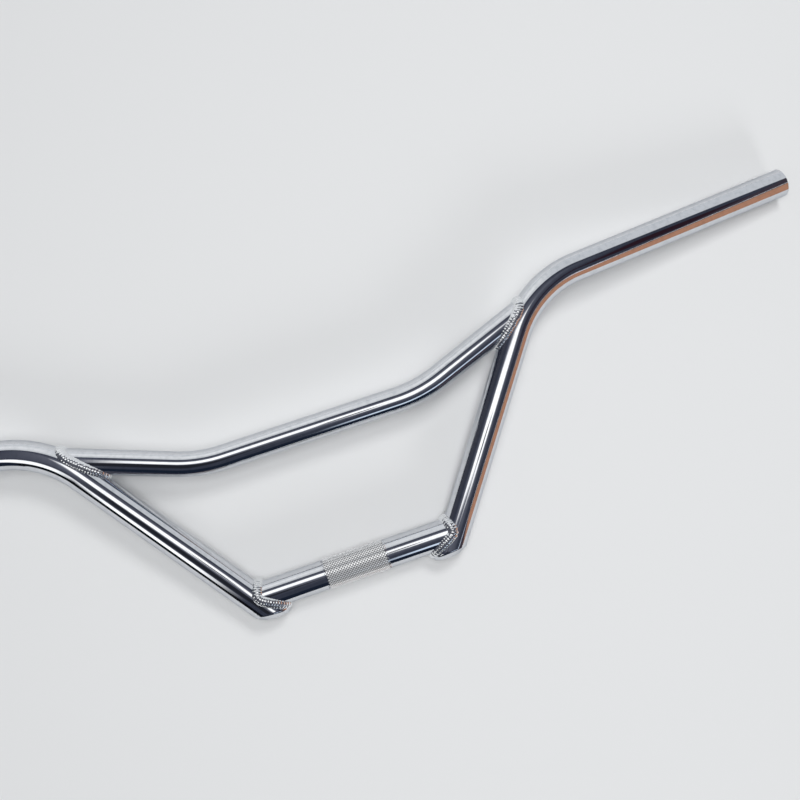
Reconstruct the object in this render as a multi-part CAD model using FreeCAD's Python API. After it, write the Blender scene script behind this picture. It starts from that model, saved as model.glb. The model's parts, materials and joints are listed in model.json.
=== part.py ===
"""Welded and plated steel handlebar with a bent brace tube.

Millimetres. The origin is the centre of the clamp tube. +X runs along the clamp tube to the right grip,
+Z is up, and the front of the bar faces -Y, so the grips sweep back towards +Y.
"""
import FreeCAD
import Part
import math
import os

from FreeCAD import Vector

# Tubes
TUBE_OD = 22.2
LEG_WALL = 1.6
CLAMP_WALL = 2.0
CROSSBAR_OD = 19.0
CROSSBAR_WALL = 1.25

# Legs and grips
OVERALL_WIDTH = 830.0
LEG_SPACING = 159.0
LEG_LEAN_DEG = 35.6
GRIP_CORNER_HEIGHT = 158.3
GRIP_UPSWEEP_DEG = 4.25
GRIP_BACKSWEEP_DEG = 5.0
LEG_BEND_RADIUS = 81.0
GRIP_END_ROUND = 0.7
LEG_FOOT_DROP = 6.0
CAP_THICKNESS = 6.0
CAP_EDGE_CHAMFER = 4.0
CAP_EDGE_ROUND = 2.4

# Knurled clamp band
KNURL_LENGTH = 49.5
KNURL_RAISE = 0.3
KNURL_CHAMFER = 0.25
COPE_EAR_TRIM = 3.0

# Crossbar
CROSSBAR_HEIGHT = 107.6
CROSSBAR_CORNER_SPACING = 173.0
CROSSBAR_JOIN_HEIGHT = 143.0
CROSSBAR_BEND_RADIUS = 104.0

# Weld beads
RIPPLE_PITCH = 2.1
RIPPLE_RADIUS = 5.0
BEAD_TOE = 3.5
SEAM_EASE = 0.6
SEAM_SAMPLES = 120

# Spare length of a tube or cutter, trimmed off where it meets its neighbour
SPARE = 40.0

# How close an edge lies to a plane that it belongs to
SAME_PLANE = 1e-4

# Halvings that close in on the point where a tube comes to the leg
SEAM_HALVINGS = 30

LEG_RADIUS = TUBE_OD / 2
LEG_BORE_RADIUS = LEG_RADIUS - LEG_WALL
CROSSBAR_RADIUS = CROSSBAR_OD / 2
KNURL_RADIUS = LEG_RADIUS + KNURL_RAISE
FOOT_HEIGHT = -LEG_RADIUS - LEG_FOOT_DROP
CAP_SEAT_HEIGHT = FOOT_HEIGHT + CAP_THICKNESS
LEAN = math.radians(LEG_LEAN_DEG)
UPSWEEP = math.radians(GRIP_UPSWEEP_DEG)
BACKSWEEP = math.radians(GRIP_BACKSWEEP_DEG)


def mirrored(point):
    """The same point on the other side of the bar's middle plane."""
    return Vector(-point.x, point.y, point.z)


def on_leg_line(height):
    """Point of the right leg's straight axis at a height."""
    return Vector(LEG_SPACING / 2 + height * math.tan(LEAN), 0, height)


def leg_corners():
    """Foot, bend corner and end of the right leg's axis. The foot runs past its cut."""
    corner = on_leg_line(GRIP_CORNER_HEIGHT)
    outward = Vector(
        math.cos(UPSWEEP) * math.cos(BACKSWEEP),
        math.cos(UPSWEEP) * math.sin(BACKSWEEP),
        math.sin(UPSWEEP),
    )
    end = corner + outward * ((OVERALL_WIDTH / 2 - corner.x) / outward.x)
    return [on_leg_line(FOOT_HEIGHT - SPARE), corner, end]


def crossbar_corners():
    """Corners of the crossbar's axis, left to right. The ends run past the legs' axes."""
    corner = Vector(CROSSBAR_CORNER_SPACING / 2, 0, CROSSBAR_HEIGHT)
    join = on_leg_line(CROSSBAR_JOIN_HEIGHT)
    rise = (join - corner).normalize()
    end = join + rise * SPARE
    return [mirrored(end), mirrored(corner), corner, end]


def rounded_path(corners, bend_radius):
    """Wire of straight runs joined by tangent arcs."""
    edges = []
    start = corners[0]
    for before, corner, after in zip(corners, corners[1:], corners[2:]):
        inward = (before - corner).normalize()
        outward = (after - corner).normalize()
        half_turn = (math.pi - inward.getAngle(outward)) / 2
        tangent = bend_radius * math.tan(half_turn)
        bisector = (inward + outward).normalize()
        arc_start = corner + inward * tangent
        arc_end = corner + outward * tangent
        arc_middle = corner + bisector * (bend_radius / math.cos(half_turn) - bend_radius)
        edges.append(Part.LineSegment(start, arc_start).toShape())
        edges.append(Part.Arc(arc_start, arc_middle, arc_end).toShape())
        start = arc_end
    edges.append(Part.LineSegment(start, corners[-1]).toShape())
    return Part.Wire(edges)


def rod_along(path, radius):
    """Solid round bar along a path of lines and arcs."""
    first = path.Edges[0]
    start = first.valueAt(first.FirstParameter)
    heading = first.tangentAt(first.FirstParameter)
    section = Part.Face(Part.Wire(Part.makeCircle(radius, start, heading)))
    return path.makePipe(section)


def largest_solid(shape):
    """The main piece that a cut leaves."""
    return max(shape.Solids, key=lambda solid: solid.Volume)


def slab(bottom, top):
    """Flat block between two heights, wider than the bar."""
    reach = OVERALL_WIDTH
    return Part.makeBox(2 * reach, 2 * reach, top - bottom, Vector(-reach, -reach, bottom))


def mirror_shape(shape):
    """The left-hand copy of a right-hand piece."""
    return shape.mirror(Vector(0, 0, 0), Vector(1, 0, 0))


def edges_at_end(shape, end, heading):
    """Edges of a solid that lie in the plane of a square tube end."""
    found = []
    for edge in shape.Edges:
        offset = edge.CenterOfMass - end
        if abs(offset.dot(heading)) < SAME_PLANE and offset.Length < TUBE_OD:
            found.append(edge)
    return found


def build_leg(path):
    """Right leg: a bent tube cut level at the foot, its open end slightly rounded."""
    wall = rod_along(path, LEG_RADIUS).cut(rod_along(path, LEG_BORE_RADIUS))
    wall = wall.cut(slab(FOOT_HEIGHT - 2 * SPARE, CAP_SEAT_HEIGHT))
    last = path.Edges[-1]
    end = last.valueAt(last.LastParameter)
    heading = last.tangentAt(last.LastParameter)
    mid_wall_radius = LEG_BORE_RADIUS + LEG_WALL / 2
    rim = [edge for edge in edges_at_end(wall, end, heading) if edge.Curve.Radius > mid_wall_radius]
    return largest_solid(wall.makeFillet(GRIP_END_ROUND, rim))


def build_leg_cap(leg_rod):
    """Plate that closes the leg's foot, flush with the tube, its lower rim ground off and rounded."""
    plate = leg_rod.common(slab(FOOT_HEIGHT, CAP_SEAT_HEIGHT))
    rim = [edge for edge in plate.Edges if abs(edge.CenterOfMass.z - FOOT_HEIGHT) < SAME_PLANE]
    ground = plate.makeChamfer(CAP_EDGE_CHAMFER, rim)
    seat = CAP_SEAT_HEIGHT - SAME_PLANE
    ground_rims = [edge for edge in ground.Edges if edge.Closed and edge.BoundBox.ZMax < seat]
    return largest_solid(ground.makeFillet(CAP_EDGE_ROUND, ground_rims))


def clamp_rod(radius):
    """Round bar as long as the clamp tube, which stops short of the copes' thin ears."""
    half = LEG_SPACING / 2 - COPE_EAR_TRIM
    return Part.makeCylinder(radius, 2 * half, Vector(-half, 0, 0), Vector(1, 0, 0))


def build_clamp_tube(leg_rods):
    """Base tube with a raised knurl band, coped to both legs."""
    band_start = Vector(-KNURL_LENGTH / 2, 0, 0)
    band = Part.makeCylinder(KNURL_RADIUS, KNURL_LENGTH, band_start, Vector(1, 0, 0))
    band_rims = [edge for edge in band.Edges if edge.Closed]
    band = band.makeChamfer(KNURL_CHAMFER, band_rims)
    tube = clamp_rod(LEG_RADIUS).fuse(band).cut(clamp_rod(LEG_RADIUS - CLAMP_WALL))
    return largest_solid(tube.cut(leg_rods))


def build_crossbar(path, leg_rods):
    """Thin brace tube with two bends, coped to both legs."""
    tube = rod_along(path, CROSSBAR_RADIUS).cut(rod_along(path, CROSSBAR_RADIUS - CROSSBAR_WALL))
    return largest_solid(tube.cut(leg_rods))


def seam_point(start, heading, leg_path):
    """Where a line along a tube comes to the leg's surface, eased out a little."""
    reach = LEG_RADIUS + SEAM_EASE

    def clear_of_leg(travel):
        probe = Part.Vertex(start + heading * travel)
        return probe.distToShape(leg_path)[0] > reach

    stride = LEG_RADIUS / 4
    near = 0.0
    far = near
    while clear_of_leg(far):
        near = far
        far += stride
    for _ in range(SEAM_HALVINGS):
        middle = (near + far) / 2
        if clear_of_leg(middle):
            near = middle
        else:
            far = middle
    return start + heading * near


def seam_around(start, heading, tube_radius, leg_path):
    """Seam of a tube and the right leg: points, each with the outward normals of both."""
    side = Vector(0, 1, 0)
    up = heading.cross(side).normalize()
    seam = []
    for index in range(SEAM_SAMPLES):
        angle = 2 * math.pi * index / SEAM_SAMPLES
        tube_normal = up * math.cos(angle) + side * math.sin(angle)
        point = seam_point(start + tube_normal * tube_radius, heading, leg_path)
        axis_point = Part.Vertex(point).distToShape(leg_path)[1][0][1]
        seam.append((point, tube_normal, (point - axis_point).normalize()))
    return seam


def ripple_stations(seam):
    """Even stations along a closed seam, as near the ripple pitch as a whole number allows."""
    following = seam[1:] + seam[:1]
    lengths = [(there[0] - here[0]).Length for here, there in zip(seam, following)]
    count = round(sum(lengths) / RIPPLE_PITCH)
    spacing = sum(lengths) / count
    stations = []
    travelled = 0.0
    for here, there, length in zip(seam, following, lengths):
        while len(stations) < count and len(stations) * spacing < travelled + length:
            share = (len(stations) * spacing - travelled) / length
            stations.append([a * (1 - share) + b * share for a, b in zip(here, there)])
        travelled += length
    return stations


def ripple_ball(point, tube_normal, leg_normal):
    """Ball that crosses both tubes at the bead's toes: it fills a crotch and crowns a flat seam."""
    outward = (tube_normal + leg_normal).normalize()
    spread = math.sin(outward.getAngle(tube_normal))
    toe_height = BEAD_TOE * spread
    offset = toe_height - math.sqrt(toe_height ** 2 - BEAD_TOE ** 2 + RIPPLE_RADIUS ** 2)
    return Part.makeSphere(RIPPLE_RADIUS, point + outward * offset)


def build_bead(start, heading, tube_radius, leg_path, rods):
    """Rippled bead around a tube where it meets the right leg, cut back to the metal it lies on."""
    stations = ripple_stations(seam_around(start, heading, tube_radius, leg_path))
    balls = [ripple_ball(*station) for station in stations]
    return largest_solid(balls[0].multiFuse(balls[1:]).cut(rods))


def build():
    """All pieces by node name."""
    leg_path = rounded_path(leg_corners(), LEG_BEND_RADIUS)
    crossbar_path = rounded_path(crossbar_corners(), CROSSBAR_BEND_RADIUS)
    leg_rod = rod_along(leg_path, LEG_RADIUS)
    leg_rods = [leg_rod, mirror_shape(leg_rod)]

    base_bead = build_bead(
        Vector(0, 0, 0), Vector(1, 0, 0), LEG_RADIUS, leg_path, [clamp_rod(LEG_RADIUS), leg_rod]
    )

    crossbar_rod = rod_along(crossbar_path, CROSSBAR_RADIUS)
    last = crossbar_path.Edges[-1]
    run_start = last.valueAt(last.FirstParameter)
    run_heading = last.tangentAt(last.FirstParameter)
    crossbar_bead = build_bead(run_start, run_heading, CROSSBAR_RADIUS, leg_path, [crossbar_rod, leg_rod])

    right = {
        "leg": build_leg(leg_path),
        "leg_cap": build_leg_cap(leg_rod),
        "base_weld": base_bead,
        "crossbar_weld": crossbar_bead,
    }
    pieces = {
        "clamp_tube": build_clamp_tube(leg_rods),
        "crossbar": build_crossbar(crossbar_path, leg_rods),
    }
    for name, shape in right.items():
        pieces["right_" + name] = shape
        pieces["left_" + name] = mirror_shape(shape)
    return pieces


def main():
    os.makedirs("parts", exist_ok=True)
    for name, shape in build().items():
        box = shape.BoundBox
        print(name, shape.isValid(), len(shape.Solids), round(shape.Volume, 1),
              [round(value, 1) for value in (box.XMin, box.XMax, box.YMin, box.YMax, box.ZMin, box.ZMax)])
        shape.exportStep(os.path.join("parts", name + ".step"))


if __name__ == "__main__":
    main()
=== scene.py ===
"""Looks of a welded steel handlebar with a bright chrome finish, built round its packed solids.

Metres, in the part's own frame: +X along the clamp tube to the right grip, +Z up, front facing -Y.
"""
import json
import math
import random

import bmesh
import bpy
from bpy.props import FloatProperty, FloatVectorProperty, IntProperty, PointerProperty
from mathutils import Euler, Matrix, Vector


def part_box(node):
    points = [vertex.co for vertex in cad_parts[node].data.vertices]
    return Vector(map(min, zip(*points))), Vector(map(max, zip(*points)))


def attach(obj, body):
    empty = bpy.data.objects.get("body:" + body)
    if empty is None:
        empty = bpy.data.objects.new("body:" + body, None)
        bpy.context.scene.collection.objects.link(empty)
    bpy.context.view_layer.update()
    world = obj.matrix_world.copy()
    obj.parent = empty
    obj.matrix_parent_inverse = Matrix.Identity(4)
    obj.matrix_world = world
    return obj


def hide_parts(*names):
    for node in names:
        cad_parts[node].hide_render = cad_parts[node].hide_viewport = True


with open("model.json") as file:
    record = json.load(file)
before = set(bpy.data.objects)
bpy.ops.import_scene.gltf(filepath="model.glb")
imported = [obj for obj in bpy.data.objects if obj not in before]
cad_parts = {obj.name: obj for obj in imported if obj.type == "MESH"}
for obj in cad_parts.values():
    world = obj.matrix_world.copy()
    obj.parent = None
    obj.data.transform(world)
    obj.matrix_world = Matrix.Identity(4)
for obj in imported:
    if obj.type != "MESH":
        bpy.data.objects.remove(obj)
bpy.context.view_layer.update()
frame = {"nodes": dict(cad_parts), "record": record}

bl_info = {
    "name": "Welded chrome handlebar",
    "version": (1, 0, 0),
    "blender": (4, 5, 0),
    "location": "3D View > Sidebar > Handlebar",
    "description": "Models and finishes a chrome plated steel handlebar round its solids",
    "category": "Object",
}

MM = 0.001
SIDES = {"right": 1, "left": -1}
RING_VERTICES = 96
BEND_STEP = math.radians(1.5)
GRIP_END_SEGMENTS = 5
SAME_PLACE = 0.001 * MM
SLIVER = 0.01 * MM
X_AXIS = Vector((1, 0, 0))
TUBE_SMOOTH_ANGLE = math.radians(15)
KNURL_SMOOTH_ANGLE = math.radians(8)
BEAD_SMOOTH_ANGLE = math.radians(60)

# Places that the packed record and solids already give
MOUNTS = {mount["name"]: mount for mount in frame["record"]["mounts"]}
GRIP_MIDDLE = Vector(MOUNTS["right_grip_seat"]["pos_m"])
GRIP_HEADING = Vector(MOUNTS["right_grip_seat"]["axis"])
GRIP_LENGTH = MOUNTS["right_grip_seat"]["dims"]["length_mm"] * MM
TUBE_RADIUS = MOUNTS["right_grip_seat"]["dims"]["r_mm"] * MM
BORE_RADIUS = MOUNTS["right_bar_end"]["dims"]["r_mm"] * MM
KNURL_RADIUS = MOUNTS["clamp_seat"]["dims"]["r_mm"] * MM
KNURL_LENGTH = MOUNTS["clamp_seat"]["dims"]["length_mm"] * MM
LEG_CUT_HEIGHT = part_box("right_leg")[0].z
FOOT_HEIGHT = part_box("right_leg_cap")[0].z
GRIP_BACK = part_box("right_leg")[1].y
FOOT_OVERRUN = 2 * TUBE_RADIUS

# Values of a noise that stand for none and all of what it patterns
PATCHES = (0.35, 0.7)
CLOUDS = (0.45, 0.75)

# How deep in the knurl the painted groove shade is full and the plate fully frosted, as shares of its depth
GROOVE_SHADE_DEPTH = 0.75
FROST_DEPTH = 0.2


def linear(hex_colour):
    """Linear RGB of an sRGB hex colour."""
    channels = [int(hex_colour[start:start + 2], 16) / 255 for start in (1, 3, 5)]
    return [c / 12.92 if c <= 0.04045 else ((c + 0.055) / 1.055) ** 2.4 for c in channels]


def length_property(name, description, default_mm):
    """A size that a user may change, given in millimetres and kept in metres."""
    return FloatProperty(
        name=name, description=description, default=default_mm * MM, unit="LENGTH", precision=5
    )


def share_property(name, description, default, least=0, most=1):
    """A share that a user may change."""
    return FloatProperty(
        name=name, description=description, default=default, subtype="FACTOR", min=least, max=most
    )


def colour_property(name, description, hex_colour):
    """A colour that a user may change."""
    return FloatVectorProperty(
        name=name, description=description, default=linear(hex_colour), subtype="COLOR", min=0, max=1
    )


class HandlebarSizes(bpy.types.PropertyGroup):
    """Sizes of the tubes"""

    leg_spacing: length_property("Leg spacing", "Between the legs' axes, on the clamp tube's axis", 159)
    leg_bend_radius: length_property("Leg bend", "Radius of the bend from leg to grip, on the axis", 81)
    grip_end_round: length_property("Grip end round", "Rounding of the open grip end's outer rim", 0.7)
    clamp_wall: length_property("Clamp tube wall", "Wall of the knurled base tube", 2)
    cope_trim: length_property("Cope trim", "How far the base tube stops short of the legs' axes", 3)
    crossbar_diameter: length_property("Crossbar diameter", "Outside diameter of the brace tube", 19)
    crossbar_wall: length_property("Crossbar wall", "Wall of the brace tube", 1.25)
    crossbar_height: length_property("Crossbar height", "Its middle run over the clamp tube", 107.6)
    crossbar_corner_spacing: length_property("Crossbar corners", "Between its two bends' corners", 173)
    crossbar_join_height: length_property("Crossbar join", "Its ends over the clamp tube", 143)
    crossbar_bend_radius: length_property("Crossbar bend", "Radius of its two bends, on the axis", 104)


class HandlebarKnurl(bpy.types.PropertyGroup):
    """Sizes of the rolled diamonds, drawn a little coarser than real ones so that they show"""

    diamonds_around: IntProperty(name="Around", description="Diamonds in one row", default=32, min=8)
    diamonds_along: IntProperty(name="Along", description="Rows of diamonds in the band", default=22, min=4)
    depth: length_property("Depth", "From the flat top of a diamond to the groove", 0.3)
    flat_share: share_property("Flat share", "Width of a flat top beside its diamond", 0.72, 0.05, 0.95)


class HandlebarWelds(bpy.types.PropertyGroup):
    """Sizes of the weld beads"""

    ripple_pitch: length_property("Ripple pitch", "Between the crests of two ripples", 2.1)
    ripple_radius: length_property("Ripple radius", "Radius of a ripple across the bead", 5)
    ripple_half_length: length_property("Ripple half length", "Half size of a ripple along the bead", 3.5)
    toe: length_property("Toe", "From the seam to the bead's edge on each tube", 3.5)
    seam_ease: length_property("Seam ease", "How far the seam stands off the leg's surface", 0.6)
    voxel: length_property("Grain", "Mesh size of the finished bead", 0.24)
    lean: FloatProperty(
        name="Lean", description="How far each ripple leans over the last",
        default=math.radians(12), subtype="ANGLE"
    )
    unevenness: share_property("Unevenness", "Share by which ripples differ", 0.2)


class HandlebarFinish(bpy.types.PropertyGroup):
    """Colours and texture sizes of the plating, and the painted shade in the knurl's grooves"""

    plate: colour_property("Chrome", "Mirror colour of bright chrome plate", "#DCDEE2")
    film: colour_property("Film", "Mirror colour where handling left a film", "#D0D3D7")
    edge: colour_property("Edge", "How much of the mirror is left where it turns away", "#D0D2D6")
    # Painted shade: this near-black groove colour stands in for the shade deep in the knurl's grooves
    groove: colour_property("Groove", "Dull plate at the bottom of the knurl", "#0C0E11")
    frost: colour_property("Frost", "Frosted plate on the tops of the knurl", "#F8F9FA")
    bead: colour_property("Weld chrome", "Mirror colour of the plate over the beads", "#E8EAEC")
    wave_size: length_property("Wave size", "Length of the soft waves that polishing leaves", 14)
    wave_height: length_property("Wave height", "Height of those waves", 0.012)
    cloud_size: length_property("Cloud size", "Size of the faint clouds in that film", 4)
    haze_size: length_property("Haze size", "Size of the patches that wiping leaves hazier", 22)
    haze_low: share_property("Least haze", "Roughness where clean", 0.035)
    haze_high: share_property("Most haze", "Roughness where wiped", 0.085)
    knurl_roughness: share_property("Knurl roughness", "Roughness of the knurled plate", 0.26)
    knurl_metal: share_property("Knurl mirror", "How mirror-like the frosted knurl is", 0.6)
    grit_size: length_property("Bead grit", "Size of the fine scale under the plate on a bead", 0.7)
    grit_height: length_property("Bead grit height", "Height of that scale", 0.035)
    bead_roughness: share_property("Bead roughness", "Roughness of the plate over that scale", 0.16)
    bead_metal: share_property("Bead mirror", "How mirror-like the plate over that scale is", 0.95)


class HandlebarStage(bpy.types.PropertyGroup):
    """Table, light and camera"""

    table: colour_property("Table", "Pale matt surface that the bar lies on", "#E4E5E6")
    air: colour_property("Background", "Plain pale surroundings", "#E6E8EA")
    fill: FloatProperty(name="Fill", description="Even light from all around", default=0.32)
    lens: FloatProperty(
        name="Lens", description="Focal length in millimetres", default=47.25, subtype="DISTANCE_CAMERA"
    )


def add_node(tree, kind, inputs=None, **settings):
    """A node with its settings. An input given as a socket is linked, and any other is set."""
    node = tree.nodes.new(kind)
    for key, value in settings.items():
        setattr(node, key, value)
    for key, value in (inputs or {}).items():
        if isinstance(value, bpy.types.NodeSocket):
            tree.links.new(value, node.inputs[key])
        else:
            node.inputs[key].default_value = value
    return node


def noise(tree, place, size, detail):
    """Value of a noise whose patches have a real size."""
    node = add_node(tree, "ShaderNodeTexNoise", {"Vector": place, "Scale": 1 / size, "Detail": detail})
    return node.outputs["Fac"]


def spread(tree, value, source, target=(0, 1), **settings):
    """A value brought from one range to another."""
    node = add_node(tree, "ShaderNodeMapRange", {
        "Value": value,
        "From Min": source[0],
        "From Max": source[1],
        "To Min": target[0],
        "To Max": target[1],
    }, **settings)
    return node.outputs["Result"]


def larger(tree, first, second):
    """The larger of two values."""
    return add_node(tree, "ShaderNodeMath", {0: first, 1: second}, operation="MAXIMUM").outputs["Value"]


def mixed_colour(tree, share, first, second):
    """A colour that goes from the first to the second with a share."""
    colours = {0: share, 6: opaque(first), 7: opaque(second)}
    return add_node(tree, "ShaderNodeMix", colours, data_type="RGBA").outputs[2]


def raised(tree, height, distance):
    """Normals of a relief whose height is given in metres."""
    return add_node(tree, "ShaderNodeBump", {"Height": height, "Distance": distance}).outputs["Normal"]


def mixed_shader(tree, share, first, second):
    """A shader that goes from the first to the second with a share."""
    return add_node(tree, "ShaderNodeMixShader", {0: share, 1: first, 2: second}).outputs["Shader"]


def empty_material(name):
    """A new material with no nodes."""
    material = bpy.data.materials.new(name)
    material.use_nodes = True
    material.node_tree.nodes.clear()
    return material


def opaque(colour):
    """A colour with its alpha."""
    return (*colour, 1)


def bright_chrome_plate(finish):
    """Bright nickel and chrome on drawn tube, buffed by hand: a clear mirror whose lines waver
    slightly, hazier in patches, with a faint film of handling and a darker edge on the round."""
    name = "bright_chrome_plate"
    if name in bpy.data.materials:
        return bpy.data.materials[name]
    material = empty_material(name)
    tree = material.node_tree
    place = add_node(tree, "ShaderNodeTexCoord").outputs["Object"]
    haze = noise(tree, place, finish.haze_size, detail=4)
    cloud = noise(tree, place, finish.cloud_size, detail=3)
    wave = noise(tree, place, finish.wave_size, detail=1)
    shader = add_node(tree, "ShaderNodeBsdfPrincipled", {
        "Base Color": mixed_colour(tree, spread(tree, cloud, CLOUDS), finish.plate, finish.film),
        "Metallic": 1,
        "Specular Tint": opaque(finish.edge),
        "Roughness": spread(tree, haze, PATCHES, (finish.haze_low, finish.haze_high)),
        "Normal": raised(tree, wave, finish.wave_height),
    })
    add_node(tree, "ShaderNodeOutputMaterial", {"Surface": shader.outputs["BSDF"]})
    return material


def knurl_plate_with_painted_shade(finish, knurl):
    """The same plate over a rolled knurl: frosted pale tops, and grooves painted near black as shade, so
    the band reads as pale dots. The distance from the tube's axis tells them apart."""
    material = empty_material("knurl_plate_with_painted_shade")
    tree = material.node_tree
    place = add_node(tree, "ShaderNodeTexCoord").outputs["Object"]
    across = add_node(tree, "ShaderNodeVectorMath", {0: place, 1: (0, 1, 1)}, operation="MULTIPLY")
    radius = add_node(tree, "ShaderNodeVectorMath", {0: across.outputs["Vector"]}, operation="LENGTH")
    # Painted shade: the colour is near black deep in the grooves and turns into the frosted plate towards
    # the tops
    shade_to_frost = (KNURL_RADIUS - GROOVE_SHADE_DEPTH * knurl.depth, KNURL_RADIUS - FROST_DEPTH * knurl.depth)
    top = spread(tree, radius.outputs["Value"], shade_to_frost)
    shader = add_node(tree, "ShaderNodeBsdfPrincipled", {
        "Base Color": mixed_colour(tree, top, finish.groove, finish.frost),
        "Metallic": finish.knurl_metal,
        "Roughness": finish.knurl_roughness,
    })
    add_node(tree, "ShaderNodeOutputMaterial", {"Surface": shader.outputs["BSDF"]})
    return material


def chrome_plated_weld(finish):
    """The same plate over a weld bead: fine scale under it frosts the mirror, so the bead is paler
    than the tubes and sparkles."""
    name = "chrome_plated_weld"
    if name in bpy.data.materials:
        return bpy.data.materials[name]
    material = empty_material(name)
    tree = material.node_tree
    place = add_node(tree, "ShaderNodeTexCoord").outputs["Object"]
    grit = noise(tree, place, finish.grit_size, detail=3)
    shader = add_node(tree, "ShaderNodeBsdfPrincipled", {
        "Base Color": opaque(finish.bead),
        "Metallic": finish.bead_metal,
        "Roughness": spread(tree, grit, PATCHES, (finish.haze_high, finish.bead_roughness)),
        "Normal": raised(tree, grit, finish.grit_height),
    })
    add_node(tree, "ShaderNodeOutputMaterial", {"Surface": shader.outputs["BSDF"]})
    return material


def deselect_all():
    """Leaves no object selected, so that an operator acts on the new piece alone."""
    bpy.ops.object.select_all(action="DESELECT")


def make_active(piece):
    """Selects one piece alone and makes it the active one."""
    deselect_all()
    piece.select_set(True)
    bpy.context.view_layer.objects.active = piece


def edit(piece):
    """Opens a piece in edit mode with all of it selected."""
    make_active(piece)
    bpy.ops.object.mode_set(mode="EDIT")
    bpy.ops.mesh.select_mode(type="VERT")
    bpy.ops.mesh.select_all(action="SELECT")


def close():
    """Leaves edit mode."""
    bpy.ops.object.mode_set(mode="OBJECT")


def select_where(piece, wanted):
    """Selects the vertices of the piece in edit mode whose place passes a test."""
    bpy.ops.mesh.select_all(action="DESELECT")
    shape = bmesh.from_edit_mesh(piece.data)
    for vertex in shape.verts:
        vertex.select = wanted(vertex.co)
    shape.select_flush(True)
    bmesh.update_edit_mesh(piece.data)


def extrude_by(offset):
    """Extrudes the selected ring."""
    bpy.ops.mesh.extrude_region_move(TRANSFORM_OT_translate={"value": offset})


def apply_modifier(piece, kind, **settings):
    """Adds a modifier with its settings and applies it."""
    make_active(piece)
    modifier = piece.modifiers.new(kind.title(), kind)
    for key, value in settings.items():
        setattr(modifier, key, value)
    bpy.ops.object.modifier_apply(modifier=modifier.name)


def cut_away(piece, *cutters):
    """Cuts solids out of a piece and melts the slivers that a cut leaves."""
    for cutter in cutters:
        apply_modifier(piece, "BOOLEAN", object=cutter, operation="DIFFERENCE", solver="MANIFOLD")
    edit(piece)
    bpy.ops.mesh.dissolve_degenerate(threshold=SLIVER)
    close()


def remove(*pieces):
    """Deletes helpers once they have done their cutting."""
    for piece in pieces:
        bpy.data.meshes.remove(piece.data)


def facing(heading, axis="Z"):
    """Rotation that turns an object's own axis to a heading."""
    return heading.to_track_quat(axis, "Y").to_euler()


def add_ring(name, centre, heading, radius, vertices=RING_VERTICES):
    """A ring of vertices square to its heading, where a tube starts."""
    deselect_all()
    bpy.ops.mesh.primitive_circle_add(
        vertices=vertices, radius=radius, location=centre, rotation=facing(heading)
    )
    ring = bpy.context.object
    ring.name = name
    ring.data.name = name
    bpy.ops.object.transform_apply(location=True, rotation=True, scale=True)
    return ring


def bend_at(before, corner, after, radius):
    """Start, end, centre, axis and turn of the tangent arc that rounds a corner."""
    inward = (before - corner).normalized()
    outward = (after - corner).normalized()
    turn = math.pi - inward.angle(outward)
    tangent = radius * math.tan(turn / 2)
    centre = corner + (inward + outward).normalized() * (radius / math.cos(turn / 2))
    return corner + inward * tangent, corner + outward * tangent, centre, outward.cross(inward), turn


def bent_skin(name, corners, bend_radius, radius):
    """Open round skin along straight runs and bends, made by extruding and spinning a ring."""
    skin = add_ring(name, corners[0], corners[1] - corners[0], radius)
    edit(skin)
    place = corners[0]
    for before, corner, after in zip(corners, corners[1:], corners[2:]):
        start, end, centre, axis, turn = bend_at(before, corner, after, bend_radius)
        extrude_by(start - place)
        bpy.ops.mesh.spin(steps=round(turn / BEND_STEP), angle=-turn, center=centre, axis=axis)
        place = end
    extrude_by(corners[-1] - place)
    bpy.ops.mesh.select_all(action="SELECT")
    bpy.ops.mesh.remove_doubles(threshold=SAME_PLACE)
    bpy.ops.mesh.normals_make_consistent(inside=False)
    close()
    return skin


def close_ends(skin):
    """Turns an open skin into a closed solid."""
    edit(skin)
    bpy.ops.mesh.fill_holes(sides=0)
    bpy.ops.mesh.select_all(action="SELECT")
    bpy.ops.mesh.normals_make_consistent(inside=False)
    close()
    return skin


def mirrored(point, side):
    """A point of the right half, or its mirror image on the left."""
    return Vector((point.x * side, point.y, point.z))


def leg_corner():
    """Where the grip's axis, run back, meets the bar's middle plane: the corner of the leg's bend."""
    return GRIP_MIDDLE - GRIP_HEADING * (GRIP_MIDDLE.y / GRIP_HEADING.y)


def on_leg_line(sizes, height):
    """Point of the right leg's straight axis at a height."""
    base = Vector((sizes.leg_spacing / 2, 0, 0))
    corner = leg_corner()
    return base + (corner - base) * (height / corner.z)


def leg_corners(sizes, side):
    """Foot, bend corner and grip end of a leg's axis. The foot runs past its cut."""
    foot = on_leg_line(sizes, LEG_CUT_HEIGHT - FOOT_OVERRUN)
    end = GRIP_MIDDLE + GRIP_HEADING * (GRIP_LENGTH / 2 + sizes.grip_end_round)
    return [mirrored(point, side) for point in (foot, leg_corner(), end)]


def leg_rod(sizes, side, radius=TUBE_RADIUS):
    """Solid bar along a leg's axis, for cutting and for finding seams."""
    return close_ends(bent_skin("leg_rod", leg_corners(sizes, side), sizes.leg_bend_radius, radius))


def crossbar_corners(sizes):
    """Corners of the crossbar's axis, left to right, from one leg's axis to the other's."""
    corner = Vector((sizes.crossbar_corner_spacing / 2, 0, sizes.crossbar_height))
    join = on_leg_line(sizes, sizes.crossbar_join_height)
    return [mirrored(join, -1), mirrored(corner, -1), corner, join]


def crossbar_rod(sizes, radius):
    """Solid bar along the crossbar's axis."""
    corners = crossbar_corners(sizes)
    return close_ends(bent_skin("crossbar_rod", corners, sizes.crossbar_bend_radius, radius))


def straight_rod(name, half_length, radius):
    """Solid bar along the clamp tube's axis."""
    rod = add_ring(name, -X_AXIS * half_length, X_AXIS, radius)
    edit(rod)
    extrude_by(2 * X_AXIS * half_length)
    close()
    return close_ends(rod)


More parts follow.
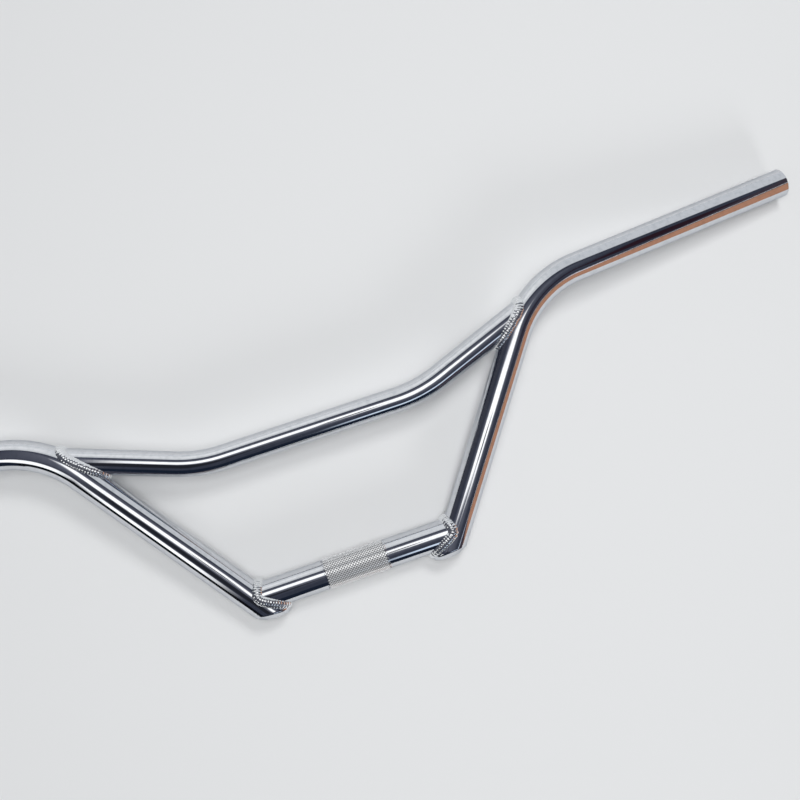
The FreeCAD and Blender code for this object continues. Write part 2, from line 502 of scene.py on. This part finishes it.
def finish_piece(piece, material, node, smooth_angle=TUBE_SMOOTH_ANGLE):
    """Shades a new piece, gives it its plate, hangs it under the root body and hides the solid it stands
    for.
    """
    make_active(piece)
    bpy.ops.object.shade_smooth_by_angle(angle=smooth_angle)
    piece.data.materials.clear()
    piece.data.materials.append(material)
    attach(piece, "root")
    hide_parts(node)


class HANDLEBAR_OT_legs(bpy.types.Operator):
    """Model the two bent leg tubes, upright and grip in one piece"""

    bl_idname = "handlebar.legs"
    bl_label = "Leg tubes"

    def execute(self, context):
        sizes = context.scene.handlebar_sizes
        plate = bright_chrome_plate(context.scene.handlebar_finish)
        for name, side in SIDES.items():
            corners = leg_corners(sizes, side)
            leg = bent_skin(name + "_leg_tube", corners, sizes.leg_bend_radius, TUBE_RADIUS)
            apply_modifier(leg, "SOLIDIFY", thickness=TUBE_RADIUS - BORE_RADIUS, offset=-1)
            edit(leg)
            bpy.ops.mesh.bisect(
                plane_co=(0, 0, LEG_CUT_HEIGHT), plane_no=(0, 0, 1), use_fill=True, clear_inner=True
            )
            heading = (corners[2] - corners[1]).normalized()
            self.round_grip_end(leg, corners[2], heading, sizes.grip_end_round)
            close()
            finish_piece(leg, plate, name + "_leg")
        return {"FINISHED"}

    def round_grip_end(self, leg, end, heading, rounding):
        """Rounds the outer rim of the open end."""
        mid_wall = (TUBE_RADIUS + BORE_RADIUS) / 2

        def on_outer_rim(place):
            offset = place - end
            along = offset.dot(heading)
            return abs(along) < SLIVER and (offset - heading * along).length > mid_wall

        select_where(leg, on_outer_rim)
        bpy.ops.mesh.bevel(offset=rounding, segments=GRIP_END_SEGMENTS, affect="EDGES")


class HANDLEBAR_OT_leg_caps(bpy.types.Operator):
    """Plate the caps that close the legs' feet"""

    bl_idname = "handlebar.leg_caps"
    bl_label = "Leg caps"

    def execute(self, context):
        plate = bright_chrome_plate(context.scene.handlebar_finish)
        for name in SIDES:
            frame["nodes"][name + "_leg_cap"].material_slots[0].material = plate
        return {"FINISHED"}


class HANDLEBAR_OT_crossbar(bpy.types.Operator):
    """Model the thinner brace tube with two bends, coped to the legs"""

    bl_idname = "handlebar.crossbar"
    bl_label = "Crossbar"

    def execute(self, context):
        sizes = context.scene.handlebar_sizes
        radius = sizes.crossbar_diameter / 2
        tube = crossbar_rod(sizes, radius)
        tube.name = "crossbar_tube"
        bore = crossbar_rod(sizes, radius - sizes.crossbar_wall)
        legs = [leg_rod(sizes, side) for side in SIDES.values()]
        cut_away(tube, *legs, bore)
        remove(bore, *legs)
        finish_piece(tube, bright_chrome_plate(context.scene.handlebar_finish), "crossbar")
        return {"FINISHED"}


class HANDLEBAR_OT_clamp_tube(bpy.types.Operator):
    """Model the base tube with its rolled diamond knurl, coped to the legs"""

    bl_idname = "handlebar.clamp_tube"
    bl_label = "Clamp tube"

    def execute(self, context):
        sizes = context.scene.handlebar_sizes
        knurl = context.scene.handlebar_knurl
        half_length = sizes.leg_spacing / 2 - sizes.cope_trim
        tube = self.knurled_skin(half_length, knurl)
        close_ends(tube)
        bore = straight_rod("clamp_bore", half_length + TUBE_RADIUS, TUBE_RADIUS - sizes.clamp_wall)
        legs = [leg_rod(sizes, side) for side in SIDES.values()]
        cut_away(tube, *legs, bore)
        remove(bore, *legs)
        finish = context.scene.handlebar_finish
        plate = bright_chrome_plate(finish)
        finish_piece(tube, plate, "clamp_tube", KNURL_SMOOTH_ANGLE)
        tube.data.materials.append(knurl_plate_with_painted_shade(finish, knurl))
        edit(tube)
        row = KNURL_LENGTH / (2 * knurl.diamonds_along)
        select_where(tube, lambda place: abs(place.x) < KNURL_LENGTH / 2 - row / 2)
        tube.active_material_index = 1
        bpy.ops.object.material_slot_assign()
        close()
        return {"FINISHED"}

    def knurled_skin(self, half_length, knurl):
        """Skin of the base tube. In the band every other vertex is a diamond's point and its
        neighbours are groove crossings. The points are then bevelled off into flat tops."""
        around = 2 * knurl.diamonds_around
        along = 2 * knurl.diamonds_along
        step = KNURL_LENGTH / along
        plain = half_length - KNURL_LENGTH / 2
        skin = add_ring("knurled_clamp_tube", -X_AXIS * half_length, X_AXIS, TUBE_RADIUS, around)
        edit(skin)
        for length in (plain, *[step] * along, plain):
            extrude_by(X_AXIS * length)

        def parity(place):
            """0 on a groove crossing, 1 on a diamond's point and None outside the band."""
            row = round((place.x + KNURL_LENGTH / 2) / step)
            if not 0 < row < along:
                return None
            column = round(math.atan2(place.z, place.y) / (2 * math.pi) * around)
            return (row + column) % 2

        groove_radius = KNURL_RADIUS - knurl.depth
        point_radius = groove_radius + knurl.depth / (1 - knurl.flat_share)
        crest_scale = point_radius / TUBE_RADIUS
        groove_scale = groove_radius / TUBE_RADIUS
        select_where(skin, lambda place: parity(place) == 1)
        bpy.ops.transform.resize(value=(1, crest_scale, crest_scale), center_override=(0, 0, 0))
        select_where(skin, lambda place: parity(place) == 0)
        bpy.ops.transform.resize(value=(1, groove_scale, groove_scale), center_override=(0, 0, 0))
        select_where(skin, lambda place: abs(place.x) < KNURL_LENGTH / 2 + step / 2)
        bpy.ops.mesh.quads_convert_to_tris(quad_method="SHORTEST_DIAGONAL")
        select_where(skin, lambda place: parity(place) == 1)
        bpy.ops.mesh.bevel(offset_type="PERCENT", offset_pct=100 * knurl.flat_share, affect="VERTICES")
        close()
        return skin


class HANDLEBAR_OT_welds(bpy.types.Operator):
    """Model the rippled weld beads where the clamp tube and the crossbar meet the legs"""

    bl_idname = "handlebar.welds"
    bl_label = "Weld beads"
    seed = 7
    seam_steps = 180
    ball_segments = 28
    ball_rings = 18
    smoothing = {"factor": 0.5, "iterations": 3}

    def execute(self, context):
        sizes = context.scene.handlebar_sizes
        welds = context.scene.handlebar_welds
        plate = chrome_plated_weld(context.scene.handlebar_finish)
        chance = random.Random(self.seed)
        crossbar_radius = sizes.crossbar_diameter / 2
        base_rod = straight_rod("base_rod", sizes.leg_spacing / 2 - sizes.cope_trim, TUBE_RADIUS)
        brace_rod = crossbar_rod(sizes, crossbar_radius)
        before, corner, join = crossbar_corners(sizes)[1:]
        run_start = bend_at(before, corner, join, sizes.crossbar_bend_radius)[1]
        run_heading = (join - corner).normalized()
        for name, side in SIDES.items():
            rod = leg_rod(sizes, side)
            seam_rod = leg_rod(sizes, side, TUBE_RADIUS + welds.seam_ease)
            seams = {
                "base": (Vector(), X_AXIS * side, TUBE_RADIUS, base_rod),
                "crossbar": (
                    mirrored(run_start, side), mirrored(run_heading, side), crossbar_radius, brace_rod
                ),
            }
            for place, (start, heading, radius, tube_rod) in seams.items():
                seam = self.seam_around(seam_rod, start, heading, radius)
                bead = self.rippled_bead(f"{name}_{place}_bead", seam, welds, chance)
                cut_away(bead, rod, tube_rod)
                self.drop_flaps(bead)
                finish_piece(bead, plate, f"{name}_{place}_weld", BEAD_SMOOTH_ANGLE)
            remove(rod, seam_rod)
        remove(base_rod, brace_rod)
        return {"FINISHED"}

    def seam_around(self, seam_rod, start, heading, radius):
        """Seam of a tube and a leg: points, each with the outward normals of both."""
        bpy.context.view_layer.update()
        side = Vector((0, 1, 0))
        up = heading.cross(side).normalized()
        seam = []
        for index in range(self.seam_steps):
            angle = 2 * math.pi * index / self.seam_steps
            tube_normal = up * math.cos(angle) + side * math.sin(angle)
            hit, place, leg_normal, _ = seam_rod.ray_cast(start + tube_normal * radius, heading)
            if not hit:
                raise RuntimeError("a tube's surface line misses the leg")
            seam.append((place, tube_normal, leg_normal))
        return seam

    def stations(self, seam, pitch):
        """Even stations along a closed seam, as near the pitch as a whole number allows."""
        following = seam[1:] + seam[:1]
        lengths = [(there[0] - here[0]).length for here, there in zip(seam, following)]
        spacing = sum(lengths) / round(sum(lengths) / pitch)
        found = []
        travelled = 0
        for here, there, length in zip(seam, following, lengths):
            while len(found) * spacing < min(travelled + length, sum(lengths) - spacing / 2):
                share = (len(found) * spacing - travelled) / length
                found.append([a.lerp(b, share) for a, b in zip(here, there)])
            travelled += length
        return found

    def rippled_bead(self, name, seam, welds, chance):
        """Overlapping flattened balls, one to a ripple, grown into one skin."""
        stations = self.stations(seam, welds.ripple_pitch)
        deselect_all()
        bpy.ops.mesh.primitive_uv_sphere_add(
            segments=self.ball_segments, ring_count=self.ball_rings, radius=1
        )
        ball = bpy.context.object
        ripples = []
        for index, (point, tube_normal, leg_normal) in enumerate(stations):
            after = stations[(index + 1) % len(stations)][0]
            travel = (after - stations[index - 1][0]).normalized()
            outward = (tube_normal + leg_normal).normalized()
            outward = (outward - travel * outward.dot(travel)).normalized()
            lean = welds.lean * (1 + chance.uniform(-1, 1) * welds.unevenness)
            size = 1 + chance.uniform(-1, 1) * welds.unevenness / 2
            along = travel * math.cos(lean) + outward * math.sin(lean)
            out = outward * math.cos(lean) - travel * math.sin(lean)
            radius = welds.ripple_radius * size
            toe_height = welds.toe * math.sin(outward.angle(tube_normal))
            sink = toe_height - math.sqrt(toe_height ** 2 - welds.toe ** 2 + radius ** 2)
            axes = Matrix((along * welds.ripple_half_length, out.cross(along) * radius, out * radius))
            ripple = ball.copy()
            ripple.data = ball.data.copy()
            ripple.data.transform(Matrix.Translation(point + outward * sink) @ axes.transposed().to_4x4())
            bpy.context.scene.collection.objects.link(ripple)
            ripples.append(ripple)
        remove(ball)
        deselect_all()
        for ripple in ripples:
            ripple.select_set(True)
        bead = ripples[0]
        bpy.context.view_layer.objects.active = bead
        bpy.ops.object.join()
        bead.name = name
        bead.data.name = name
        apply_modifier(bead, "REMESH", mode="VOXEL", voxel_size=welds.voxel)
        apply_modifier(bead, "SMOOTH", **self.smoothing)
        return bead

    def drop_flaps(self, bead):
        """Triangulates the bead, which turns the flat spots at its toe into flaps, and deletes those."""
        edit(bead)
        bpy.ops.mesh.quads_convert_to_tris()
        shape = bmesh.from_edit_mesh(bead.data)
        flaps = [face for face in shape.faces if any(edge.is_boundary for edge in face.edges)]
        bmesh.ops.delete(shape, geom=flaps, context="FACES")
        bmesh.update_edit_mesh(bead.data)
        close()


# Stage sizes in metres. Cards and lights stand in the camera's own axes, measured from the bar's
# origin: to the right, up the picture, and from the table towards the camera.
CAMERA_PLACE = Vector((4.18, -788.15, 127.29)) * MM
CAMERA_TURN = Euler([math.radians(angle) for angle in (88.422, 18.241, -5.268)])
TABLE_SIZE = 2.6
TABLE_FADE = (0.55, 1.0)
TABLE_CLEARANCE = 0.2 * MM

# Each card: centre, width direction, length direction (both with their sizes), colour, strength, soft
# edge. Those with a negative third value stand behind the table and are for views from behind.
STAGE_CARDS = {
    "dark_ceiling": ((0, 0, 1.3), (4.4, 0, 0), (0, 4.4, 0), "#3B3F4C", 1, 0.05),
    "dark_left_wall": ((-1.7, 0.3, 0.7), (0, 2.8, 0), (0, 0, 1.2), "#41434D", 1, 0.05),
    "dark_right_wall": ((1.7, 0, 0.65), (0, 4, 0), (0, 0, 1.3), "#443D46", 1, 0.05),
    "dark_lower_wall": ((0.5, -1.7, 0.65), (3.2, 0, 0), (0, 0, 1.3), "#1C2433", 1, 0.05),
    "black_corner": ((-1.26, -1.5, 0.8), (0.9, -0.65, 0), (0, 0, 1.0), "#0C0F14", 1, 0.05),
    "pale_upper_wall": ((0, 0.9, 0.42), (2.6, 0, -0.5), (0.17, 0, 0.9), "#D9DCE0", 1, 0.08),
    "bright_wall_side": ((-0.55, 0.88, 0.47), (1.3, 0, -0.25), (0.17, 0, 0.9), "#F6F7F8", 1, 0.4),
    "lamp_glow": ((0, 0.22, 0.82), (1.5, 0, 0), (0, 1.3, 0), "#6E707C", 1, 0.6),
    "soft_lamp": ((0.02, 0.23, 0.8), (0.64, 0, 0), (0, 0.39, 0), "#FFFFFF", 1.5, 0.1),
    "soft_lamp_corner": ((0.2, 0.08, 0.801), (0.24, 0, 0), (0, 0.24, 0), "#FFFFFF", 1.5, 0.1),
    "lower_left_window": ((-0.69, -0.72, 0.78), (0.34, -0.24, 0), (0.48, 0.68, 0), "#FFFFFF", 1.5, 0.12),
    "lower_right_window": ((0.94, -0.78, 0.8), (1.14, 0.34, 0), (-0.17, 0.57, 0), "#DAE8FA", 1.2, 0.15),
    "dark_gap": ((-0.19, -0.19, 0.79), (-0.27, -0.36, 0), (0.376, -0.282, 0), "#26282F", 1, 0.09),
    "warm_card": ((0.63, 0.1, 0.09), (0.26, 0.48, -0.08), (0.025, 0.04, 0.3), "#BE8C72", 1, 0.01),
    "warm_card_edge": (
        (0.645, 0.125, 0.277), (0.26, 0.48, -0.08), (0.002, 0.003, 0.022), "#FFFFFF", 1.2, 0.008
    ),
    "camera_body": ((0.08, 0.13, 0.77), (0.12, 0, 0), (0, 0.1, 0), "#2C2F36", 1, 0.03),
    "dark_back_upper": ((0, 0.75, -1.0), (3.4, 0, 0), (0, 1.0, 0), "#3B3F4C", 1, 0.25),
    "dark_back_lower": ((0, -0.65, -1.0), (3.4, 0, 0), (0, 0.7, 0), "#41434D", 1, 0.25),
    "maroon_card": ((0.95, 0.35, 0.82), (0.6, 0, 0), (0, 0.6, 0), "#2E1D26", 1, 0.12),
}

# Each light: place, size and power in watts
STAGE_LIGHTS = {
    "key_light": ((0, 0.18, 1.8), 0.9, 14),
    "upper_light": ((0.6, 1.3, 1.6), 0.6, 13),
    "low_light": ((1.2, -1.6, 0.9), 0.55, 14),
}


class HANDLEBAR_OT_stage(bpy.types.Operator):
    """Lay out the pale table, the cards that the chrome reflects, the lights and the camera"""

    bl_idname = "handlebar.stage"
    bl_label = "Stage"

    def execute(self, context):
        stage = context.scene.handlebar_stage
        context.scene.view_settings.view_transform = "Standard"
        self.axes = CAMERA_TURN.to_matrix()
        self.add_camera(context, stage)
        self.add_air(context, stage)
        self.add_table(stage)
        for name, card in STAGE_CARDS.items():
            self.add_card(name, *card)
        for name, light in STAGE_LIGHTS.items():
            self.add_light(name, *light)
        return {"FINISHED"}

    def add_camera(self, context, stage):
        """Camera at the photograph's place and angle."""
        bpy.ops.object.camera_add(location=CAMERA_PLACE, rotation=CAMERA_TURN)
        camera = context.object
        camera.name = "photo_camera"
        camera.data.lens = stage.lens
        context.scene.camera = camera

    def add_air(self, context, stage):
        """Pale surroundings for the camera and for the chrome, with a lower even light on matt surfaces."""
        world = bpy.data.worlds.new("pale_air")
        world.use_nodes = True
        tree = world.node_tree
        tree.nodes.clear()
        ray = add_node(tree, "ShaderNodeLightPath")
        seen = larger(tree, ray.outputs["Is Camera Ray"], ray.outputs["Is Glossy Ray"])
        seen = larger(tree, seen, ray.outputs["Is Transmission Ray"])
        fill = add_node(tree, "ShaderNodeBackground", {"Color": opaque(stage.air), "Strength": stage.fill})
        pale = add_node(tree, "ShaderNodeBackground", {"Color": opaque(stage.air), "Strength": 1})
        mix = mixed_shader(tree, seen, fill.outputs["Background"], pale.outputs["Background"])
        add_node(tree, "ShaderNodeOutputWorld", {"Surface": mix})
        context.scene.world = world

    def add_table(self, stage):
        """The table touches the legs' feet and the backs of the grip ends."""
        foot = Vector((0, TUBE_RADIUS, FOOT_HEIGHT))
        grip = Vector((0, GRIP_BACK, GRIP_MIDDLE.z))
        normal = X_AXIS.cross((grip - foot).normalized())
        middle = (foot + grip) / 2 - normal * TABLE_CLEARANCE
        deselect_all()
        bpy.ops.mesh.primitive_plane_add(size=TABLE_SIZE, location=middle, rotation=facing(normal))
        table = bpy.context.object
        table.name = "pale_table"
        table.data.materials.append(self.table_surface(stage))

    def table_surface(self, stage):
        """Matt painted board that fades out towards its rim. It is seen from its front only: what is
        looked at through its back doesn't mirror it either."""
        material = empty_material("matt_painted_board")
        tree = material.node_tree
        place = add_node(tree, "ShaderNodeTexCoord").outputs["Object"]
        reach = add_node(tree, "ShaderNodeVectorMath", {0: place}, operation="LENGTH")
        fade = spread(tree, reach.outputs["Value"], TABLE_FADE, interpolation_type="SMOOTHSTEP")
        behind = add_node(tree, "ShaderNodeNewGeometry").outputs["Backfacing"]
        ray = add_node(tree, "ShaderNodeLightPath")
        looked_through = add_node(tree, "ShaderNodeMath", {
            0: ray.outputs["Is Glossy Ray"], 1: ray.outputs["Transparent Depth"],
        }, operation="MULTIPLY", use_clamp=True)
        gone = larger(tree, larger(tree, fade, behind), looked_through.outputs["Value"])
        board = add_node(tree, "ShaderNodeBsdfDiffuse", {"Color": opaque(stage.table)})
        clear = add_node(tree, "ShaderNodeBsdfTransparent")
        mix = mixed_shader(tree, gone, board.outputs["BSDF"], clear.outputs["BSDF"])
        add_node(tree, "ShaderNodeOutputMaterial", {"Surface": mix})
        return material

    def add_card(self, name, centre, width, length, hex_colour, strength, soft_edge):
        """A card that only the chrome sees."""
        across = self.axes @ Vector(width)
        along = self.axes @ Vector(length)
        size = (across.length, along.length)
        own_axes = Matrix([axis.normalized() for axis in (across, along, across.cross(along))])
        turn = own_axes.transposed().to_euler()
        deselect_all()
        bpy.ops.mesh.primitive_plane_add(size=1, location=self.axes @ Vector(centre), rotation=turn)
        card = bpy.context.object
        card.name = name
        edit(card)
        bpy.ops.transform.resize(value=(size[0], size[1], 1), orient_type="LOCAL")
        close()
        card.data.materials.append(self.card_surface(name, size, hex_colour, strength, soft_edge))
        for kind in ("camera", "diffuse", "transmission", "volume_scatter", "shadow"):
            setattr(card, "visible_" + kind, False)

    def card_surface(self, name, size, hex_colour, strength, soft_edge):
        """Plain glowing card that fades out at its edges."""
        material = empty_material(name)
        tree = material.node_tree
        place = add_node(tree, "ShaderNodeTexCoord").outputs["Object"]
        half = (size[0] / 2, size[1] / 2, 0)
        offset = add_node(tree, "ShaderNodeVectorMath", {0: place}, operation="ABSOLUTE")
        margin = add_node(tree, "ShaderNodeVectorMath", {
            0: half, 1: offset.outputs["Vector"],
        }, operation="SUBTRACT")
        sides = add_node(tree, "ShaderNodeSeparateXYZ", {"Vector": margin.outputs["Vector"]})
        nearest = add_node(tree, "ShaderNodeMath", {
            0: sides.outputs["X"], 1: sides.outputs["Y"],
        }, operation="MINIMUM")
        shown = spread(tree, nearest.outputs["Value"], (0, soft_edge), interpolation_type="SMOOTHSTEP")
        colour = opaque(linear(hex_colour))
        glow = add_node(tree, "ShaderNodeEmission", {"Color": colour, "Strength": strength})
        clear = add_node(tree, "ShaderNodeBsdfTransparent")
        mix = mixed_shader(tree, shown, clear.outputs["BSDF"], glow.outputs["Emission"])
        add_node(tree, "ShaderNodeOutputMaterial", {"Surface": mix})
        return material

    def add_light(self, name, place, size, power):
        """A soft square light aimed at the bar's middle, which the chrome doesn't see."""
        here = self.axes @ Vector(place)
        bpy.ops.object.light_add(type="AREA", location=here, rotation=facing(-here, "-Z"))
        light = bpy.context.object
        light.name = name
        light.data.size = size
        light.data.energy = power
        light.visible_camera = False
        light.visible_glossy = False


class HANDLEBAR_PT_panel(bpy.types.Panel):
    """The pieces, in the order they are made"""

    bl_idname = "HANDLEBAR_PT_panel"
    bl_label = "Handlebar"
    bl_space_type = "VIEW_3D"
    bl_region_type = "UI"
    bl_category = "Handlebar"

    def draw(self, context):
        for operator in OPERATORS:
            self.layout.operator(operator.bl_idname)
        for name, group in GROUPS.items():
            box = self.layout.box()
            box.label(text=group.__doc__)
            for key in group.__annotations__:
                box.prop(getattr(context.scene, name), key)


GROUPS = {
    "handlebar_sizes": HandlebarSizes,
    "handlebar_knurl": HandlebarKnurl,
    "handlebar_welds": HandlebarWelds,
    "handlebar_finish": HandlebarFinish,
    "handlebar_stage": HandlebarStage,
}
OPERATORS = (
    HANDLEBAR_OT_legs,
    HANDLEBAR_OT_leg_caps,
    HANDLEBAR_OT_crossbar,
    HANDLEBAR_OT_clamp_tube,
    HANDLEBAR_OT_welds,
    HANDLEBAR_OT_stage,
)


def register():
    """Adds the classes and the scene's property groups."""
    for cls in (*GROUPS.values(), *OPERATORS, HANDLEBAR_PT_panel):
        bpy.utils.register_class(cls)
    for name, group in GROUPS.items():
        setattr(bpy.types.Scene, name, PointerProperty(type=group))


def unregister():
    """Takes them away again."""
    for name in GROUPS:
        delattr(bpy.types.Scene, name)
    for cls in (HANDLEBAR_PT_panel, *reversed(OPERATORS), *reversed(GROUPS.values())):
        bpy.utils.unregister_class(cls)


def main():
    """Makes all pieces and the stage."""
    register()
    bpy.ops.handlebar.legs()
    bpy.ops.handlebar.leg_caps()
    bpy.ops.handlebar.crossbar()
    bpy.ops.handlebar.clamp_tube()
    bpy.ops.handlebar.welds()
    bpy.ops.handlebar.stage()


if __name__ == "__main__":
    main()
